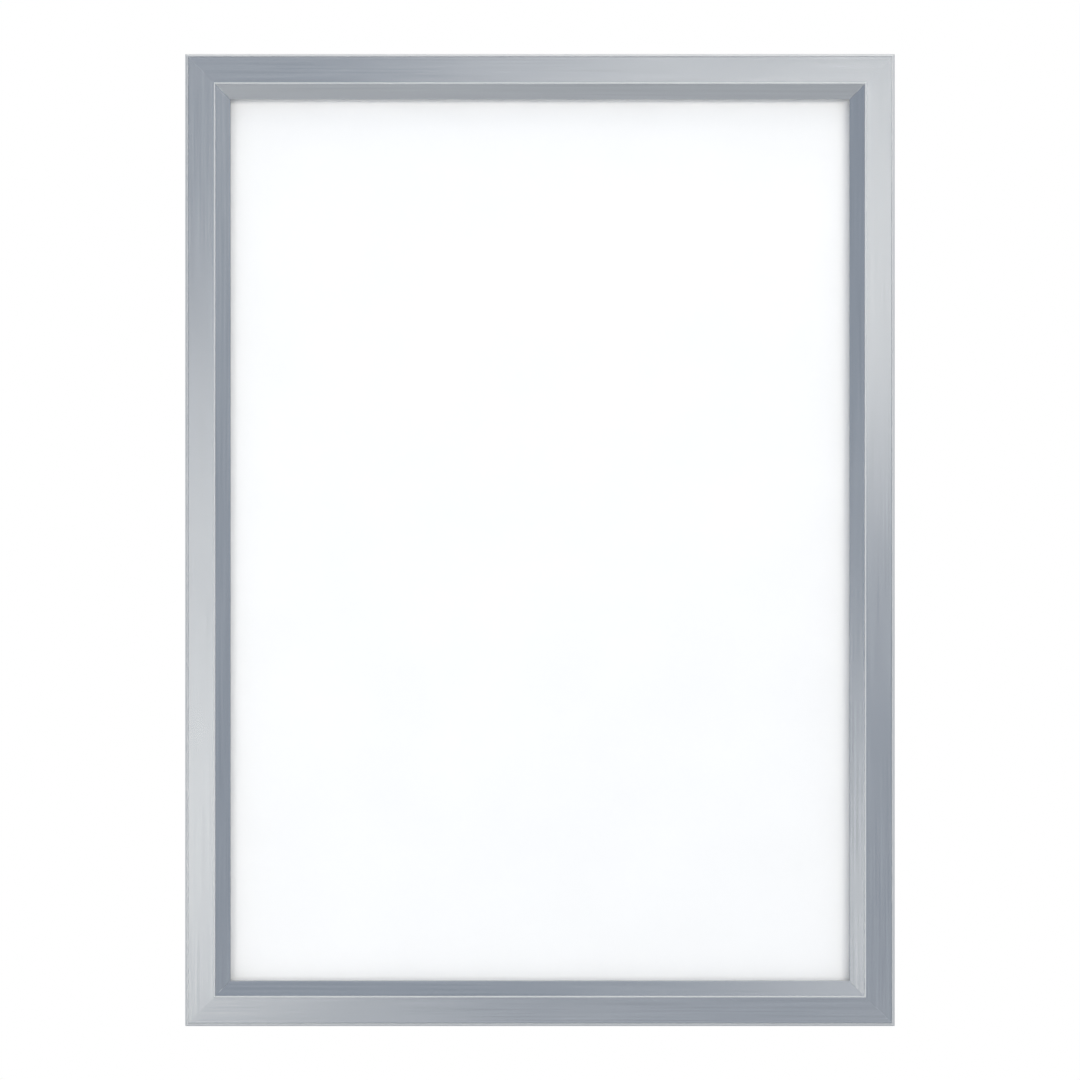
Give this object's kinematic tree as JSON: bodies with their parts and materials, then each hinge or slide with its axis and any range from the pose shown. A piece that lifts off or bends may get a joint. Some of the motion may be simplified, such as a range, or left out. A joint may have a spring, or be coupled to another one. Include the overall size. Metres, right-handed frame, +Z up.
{
  "type": "snap frame",
  "caption": "Wall-hung snap frame with mitred aluminium rails that hinge open on leaf springs, holding a sheet under a clear cover.",
  "frame": {"origin": "centre of the wall plane, behind the middle of the frame", "axes": "+Z up along the long side, +X to the right seen from the front, +Y into the wall; the front looks along -Y"},
  "size_m": [0.235, 0.01, 0.322],
  "materials": {
    "anodised_aluminium": "satin",
    "mill_aluminium": "satin",
    "zinc_plated_steel": "satin",
    "black_steel": "satin",
    "spring_steel": "satin",
    "back_board": "matte",
    "paper": "matte",
    "clear_sheet": "satin"
  },
  "bodies": {
    "root": {"base_rail_top": "mill_aluminium", "base_rail_bottom": "mill_aluminium", "base_rail_left": "mill_aluminium", "base_rail_right": "mill_aluminium", "corner_key_top_left": "zinc_plated_steel", "corner_key_top_right": "zinc_plated_steel", "corner_key_bottom_left": "zinc_plated_steel", "corner_key_bottom_right": "zinc_plated_steel", "set_screw_top_left_1": "black_steel", "set_screw_top_left_2": "black_steel", "set_screw_top_right_1": "black_steel", "set_screw_top_right_2": "black_steel", "set_screw_bottom_left_1": "black_steel", "set_screw_bottom_left_2": "black_steel", "set_screw_bottom_right_1": "black_steel", "set_screw_bottom_right_2": "black_steel", "back_panel": "back_board", "insert_sheet": "paper", "cover_sheet": "clear_sheet"},
    "top_rail": {"snap_rail_top": "anodised_aluminium"},
    "bottom_rail": {"snap_rail_bottom": "anodised_aluminium"},
    "left_rail": {"snap_rail_left": "anodised_aluminium"},
    "right_rail": {"snap_rail_right": "anodised_aluminium"},
    "top_spring_1": {"leaf_spring_top_1": "spring_steel"},
    "top_spring_2": {"leaf_spring_top_2": "spring_steel"},
    "bottom_spring_1": {"leaf_spring_bottom_1": "spring_steel"},
    "bottom_spring_2": {"leaf_spring_bottom_2": "spring_steel"},
    "left_spring_1": {"leaf_spring_left_1": "spring_steel"},
    "left_spring_2": {"leaf_spring_left_2": "spring_steel"},
    "right_spring_1": {"leaf_spring_right_1": "spring_steel"},
    "right_spring_2": {"leaf_spring_right_2": "spring_steel"}
  },
  "joints": [
    {"name": "top_rail_hinge", "type": "hinge", "parent": "root", "child": "top_rail", "pos_m": [0, -0.0044, 0.1588], "axis": [-1, 0, 0], "range_deg": [0, 100], "deforming": ["leaf_spring_top_1", "leaf_spring_top_2"]},
    {"name": "bottom_rail_hinge", "type": "hinge", "parent": "root", "child": "bottom_rail", "pos_m": [0, -0.0044, -0.1588], "axis": [1, 0, 0], "range_deg": [0, 100], "deforming": ["leaf_spring_bottom_1", "leaf_spring_bottom_2"]},
    {"name": "left_rail_hinge", "type": "hinge", "parent": "root", "child": "left_rail", "pos_m": [-0.1153, -0.0044, 0], "axis": [0, 0, -1], "range_deg": [0, 100], "deforming": ["leaf_spring_left_1", "leaf_spring_left_2"]},
    {"name": "right_rail_hinge", "type": "hinge", "parent": "root", "child": "right_rail", "pos_m": [0.1153, -0.0044, 0], "axis": [0, 0, 1], "range_deg": [0, 100], "deforming": ["leaf_spring_right_1", "leaf_spring_right_2"]},
    {"name": "top_spring_1_tilt", "type": "hinge", "parent": "root", "child": "top_spring_1", "pos_m": [0, -0.0034, 0.1504], "axis": [-1, 0, 0], "range_deg": [-30, 0]},
    {"name": "top_spring_2_tilt", "type": "hinge", "parent": "root", "child": "top_spring_2", "pos_m": [0, -0.0034, 0.1504], "axis": [-1, 0, 0], "range_deg": [-30, 0]},
    {"name": "bottom_spring_1_tilt", "type": "hinge", "parent": "root", "child": "bottom_spring_1", "pos_m": [0, -0.0034, -0.1504], "axis": [1, 0, 0], "range_deg": [-30, 0]},
    {"name": "bottom_spring_2_tilt", "type": "hinge", "parent": "root", "child": "bottom_spring_2", "pos_m": [0, -0.0034, -0.1504], "axis": [1, 0, 0], "range_deg": [-30, 0]},
    {"name": "left_spring_1_tilt", "type": "hinge", "parent": "root", "child": "left_spring_1", "pos_m": [-0.1069, -0.0034, 0], "axis": [0, 0, -1], "range_deg": [-30, 0]},
    {"name": "left_spring_2_tilt", "type": "hinge", "parent": "root", "child": "left_spring_2", "pos_m": [-0.1069, -0.0034, 0], "axis": [0, 0, -1], "range_deg": [-30, 0]},
    {"name": "right_spring_1_tilt", "type": "hinge", "parent": "root", "child": "right_spring_1", "pos_m": [0.1069, -0.0034, 0], "axis": [0, 0, 1], "range_deg": [-30, 0]},
    {"name": "right_spring_2_tilt", "type": "hinge", "parent": "root", "child": "right_spring_2", "pos_m": [0.1069, -0.0034, 0], "axis": [0, 0, 1], "range_deg": [-30, 0]}
  ],
  "couplings": [
    {"joint": "top_spring_1_tilt", "follows": "top_rail_hinge", "ratio": -0.29771},
    {"joint": "top_spring_2_tilt", "follows": "top_rail_hinge", "ratio": -0.29771},
    {"joint": "bottom_spring_1_tilt", "follows": "bottom_rail_hinge", "ratio": -0.29771},
    {"joint": "bottom_spring_2_tilt", "follows": "bottom_rail_hinge", "ratio": -0.29771},
    {"joint": "left_spring_1_tilt", "follows": "left_rail_hinge", "ratio": -0.29771},
    {"joint": "left_spring_2_tilt", "follows": "left_rail_hinge", "ratio": -0.29771},
    {"joint": "right_spring_1_tilt", "follows": "right_rail_hinge", "ratio": -0.29771},
    {"joint": "right_spring_2_tilt", "follows": "right_rail_hinge", "ratio": -0.29771}
  ]
}
